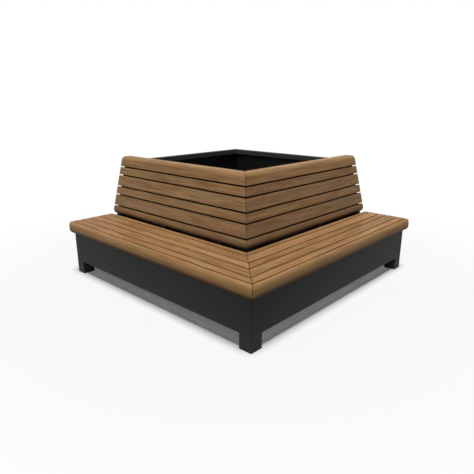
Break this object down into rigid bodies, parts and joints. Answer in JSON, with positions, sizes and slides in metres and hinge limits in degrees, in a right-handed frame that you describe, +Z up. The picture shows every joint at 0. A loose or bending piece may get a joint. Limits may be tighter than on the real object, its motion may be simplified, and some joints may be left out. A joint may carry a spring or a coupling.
{
  "type": "bench with planter",
  "caption": "Free-standing timber corner bench round a square steel planter, with leaning slatted backs, moulded caps and a sheet steel base on square feet.",
  "frame": {"origin": "centre of the overall footprint, on the ground under the feet", "axes": "+Z up; -X is the front of the left arm of the bench and -Y the front of the right arm, which meet at the near corner (-X, -Y)"},
  "size_m": [2.044, 2.044, 0.9451],
  "materials": {
    "timber": "oiled hardwood",
    "powder_coat": "fine textured matt powder coat",
    "foot_plastic": "matt moulded plastic"
  },
  "bodies": {
    "root": {"back_board_left_1": "timber", "back_board_left_2": "timber", "back_board_left_3": "timber", "back_board_left_4": "timber", "back_board_left_5": "timber", "back_board_right_1": "timber", "back_board_right_2": "timber", "back_board_right_3": "timber", "back_board_right_4": "timber", "back_board_right_5": "timber", "back_cap_left": "timber", "back_cap_right": "timber", "back_support_left_1": "powder_coat", "back_support_left_2": "powder_coat", "back_support_right_1": "powder_coat", "back_support_right_2": "powder_coat", "bearer_left_1": "powder_coat", "bearer_left_2": "powder_coat", "bearer_right_1": "powder_coat", "bearer_right_2": "powder_coat", "corner_back_support": "powder_coat", "corner_bearer": "powder_coat", "end_bearer_left": "powder_coat", "end_bearer_right": "powder_coat", "end_panel_left": "powder_coat", "end_panel_right": "powder_coat", "end_support_left": "powder_coat", "end_support_right": "powder_coat", "fascia_left": "powder_coat", "fascia_right": "powder_coat", "floor_bearer_1": "powder_coat", "floor_bearer_2": "powder_coat", "floor_bearer_3": "powder_coat", "foot_far": "powder_coat", "insert_foot_far": "foot_plastic", "insert_post_left": "foot_plastic", "insert_post_near": "foot_plastic", "insert_post_right": "foot_plastic", "planter_floor": "powder_coat", "planter_wall_far_left": "powder_coat", "planter_wall_far_right": "powder_coat", "planter_wall_left": "powder_coat", "planter_wall_right": "powder_coat", "post_left": "powder_coat", "post_near": "powder_coat", "post_right": "powder_coat", "seat_board_left_1": "timber", "seat_board_left_2": "timber", "seat_board_left_3": "timber", "seat_board_left_4": "timber", "seat_board_left_5": "timber", "seat_board_right_1": "timber", "seat_board_right_2": "timber", "seat_board_right_3": "timber", "seat_board_right_4": "timber", "seat_board_right_5": "timber", "seat_nose_left": "timber", "seat_nose_right": "timber"}
  },
  "joints": []
}
